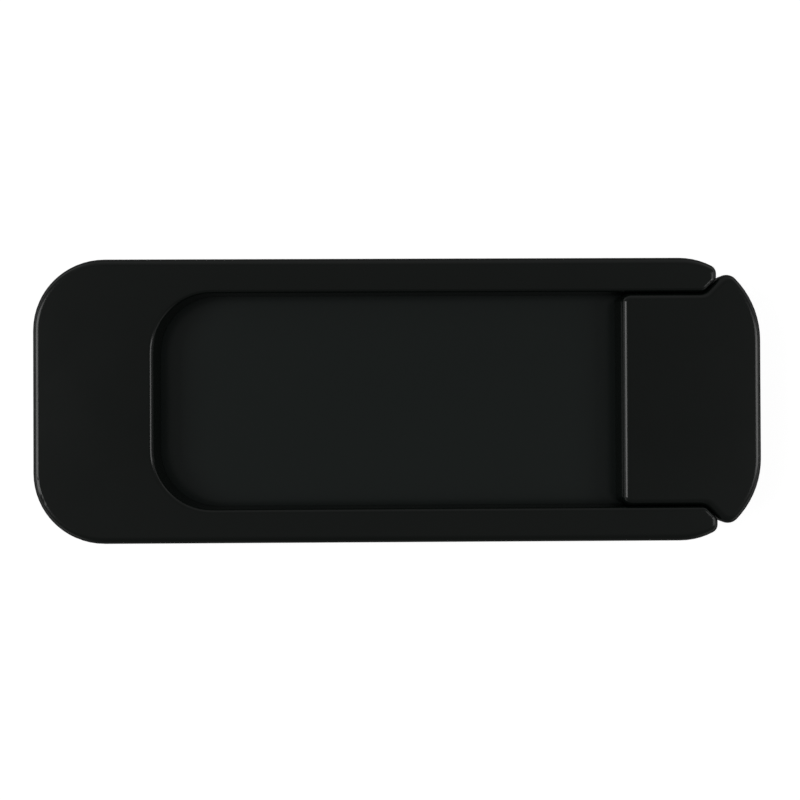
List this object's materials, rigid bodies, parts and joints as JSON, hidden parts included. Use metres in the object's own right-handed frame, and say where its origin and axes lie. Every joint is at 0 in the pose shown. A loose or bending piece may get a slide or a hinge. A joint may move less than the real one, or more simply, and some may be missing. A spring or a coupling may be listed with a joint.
{
  "type": "webcam cover slider",
  "caption": "Flat stick-on webcam cover: a rounded frame with a camera window in its floor, and a shutter panel with a flared thumb head that slides out along the frame.",
  "frame": {"origin": "centre of the closed part's outline, on the back face of the adhesive tape", "axes": "+X along the slide, towards the thumb head, the way the slider opens; +Z out of the front, away from the surface that the cover is stuck to; +Y across the rails"},
  "size_m": [0.041, 0.016, 0.0032],
  "materials": {
    "frame_plastic": "black ABS, moulded with a fine satin spark-eroded texture",
    "slider_plastic": "black ABS, moulded with a fine satin spark-eroded texture",
    "tape": "black double-sided tape, acrylic adhesive on polyester film, smooth and slightly glossy where the liner was peeled off"
  },
  "bodies": {
    "frame": {"base_frame": "frame_plastic", "adhesive_tape": "tape"},
    "slider": {"slider": "slider_plastic"}
  },
  "joints": [
    {"name": "shutter_slide", "type": "slide", "parent": "frame", "child": "slider", "axis": [1, 0, 0], "range_m": [0, 0.012]}
  ]
}
